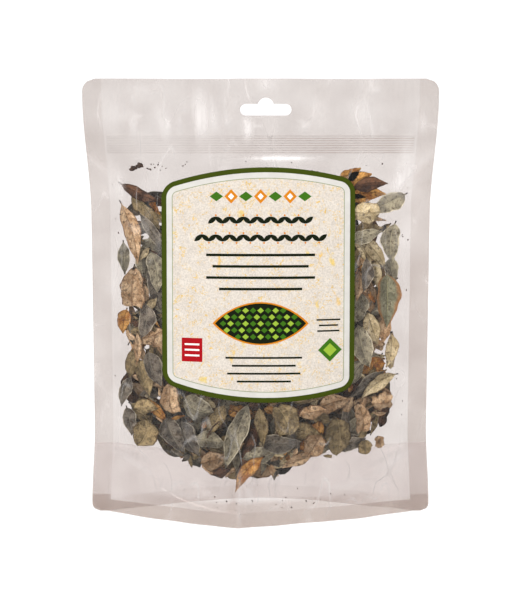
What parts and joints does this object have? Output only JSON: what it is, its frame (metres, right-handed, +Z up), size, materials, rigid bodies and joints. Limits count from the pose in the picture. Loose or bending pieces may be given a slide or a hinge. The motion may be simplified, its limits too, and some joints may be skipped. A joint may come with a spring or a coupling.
{
  "type": "stand-up pouch of dried curry leaves",
  "caption": "Clear zip-lock stand-up pouch with a hang slot and an arched label, filled with whole dried curry leaves.",
  "frame": {"origin": "middle of the footprint, on the surface that the pouch stands on", "axes": "+X to the right across the width, -Y out of the labelled front, +Z up"},
  "size_m": [0.2218, 0.0659, 0.28],
  "materials": {
    "film": "clear glossy laminated film, slightly cloudy",
    "zip": "clear extruded polyethylene",
    "label": "printed self-adhesive paper, satin",
    "leaf_green": "dried leaf, matt",
    "leaf_olive": "dried leaf, matt",
    "leaf_tan": "dried leaf, pale underside, matt",
    "leaf_golden": "dried leaf, matt",
    "leaf_brown": "dried leaf, matt",
    "leaf_slate": "dried leaf, matt",
    "stalk": "dried leaf stalk"
  },
  "bodies": {
    "root": {"front_film": "film", "back_film": "film", "bottom_gusset": "film", "zip_rib_track": "zip", "zip_groove_track": "zip", "front_label": "label", "front_leaf_01": "leaf_brown", "front_leaf_02": "leaf_tan", "front_leaf_03": "leaf_slate", "front_leaf_04": "leaf_tan", "front_leaf_05": "leaf_golden", "front_leaf_06": "leaf_slate", "front_leaf_07": "leaf_slate", "front_leaf_08": "leaf_olive", "front_leaf_09": "leaf_olive", "front_leaf_10": "leaf_slate", "front_leaf_11": "leaf_tan", "front_leaf_12": "leaf_green", "front_leaf_13": "leaf_green", "front_leaf_14": "leaf_golden", "front_leaf_15": "leaf_olive", "front_leaf_16": "leaf_olive", "front_leaf_17": "leaf_tan", "front_leaf_18": "leaf_olive", "front_leaf_19": "leaf_tan", "front_leaf_20": "leaf_tan", "front_leaf_21": "leaf_tan", "front_leaf_22": "leaf_olive", "front_leaf_23": "leaf_golden", "front_leaf_24": "leaf_green", "front_leaf_25": "leaf_olive", "front_leaf_26": "leaf_slate", "front_leaf_27": "leaf_green", "front_leaf_28": "leaf_green", "front_leaf_29": "leaf_tan", "front_leaf_30": "leaf_green", "front_leaf_31": "leaf_brown", "back_leaf_01": "leaf_green", "back_leaf_02": "leaf_olive", "back_leaf_03": "leaf_slate", "back_leaf_04": "leaf_tan", "back_leaf_05": "leaf_green", "back_leaf_06": "leaf_olive", "back_leaf_07": "leaf_golden", "back_leaf_08": "leaf_brown", "back_leaf_09": "leaf_green", "back_leaf_10": "leaf_olive", "back_leaf_11": "leaf_slate", "back_leaf_12": "leaf_tan", "back_leaf_13": "leaf_green", "back_leaf_14": "leaf_olive", "back_leaf_15": "leaf_golden", "back_leaf_16": "leaf_brown", "back_leaf_17": "leaf_green", "back_leaf_18": "leaf_olive", "leaf_stalk_1": "stalk", "leaf_stalk_2": "stalk"}
  },
  "joints": []
}
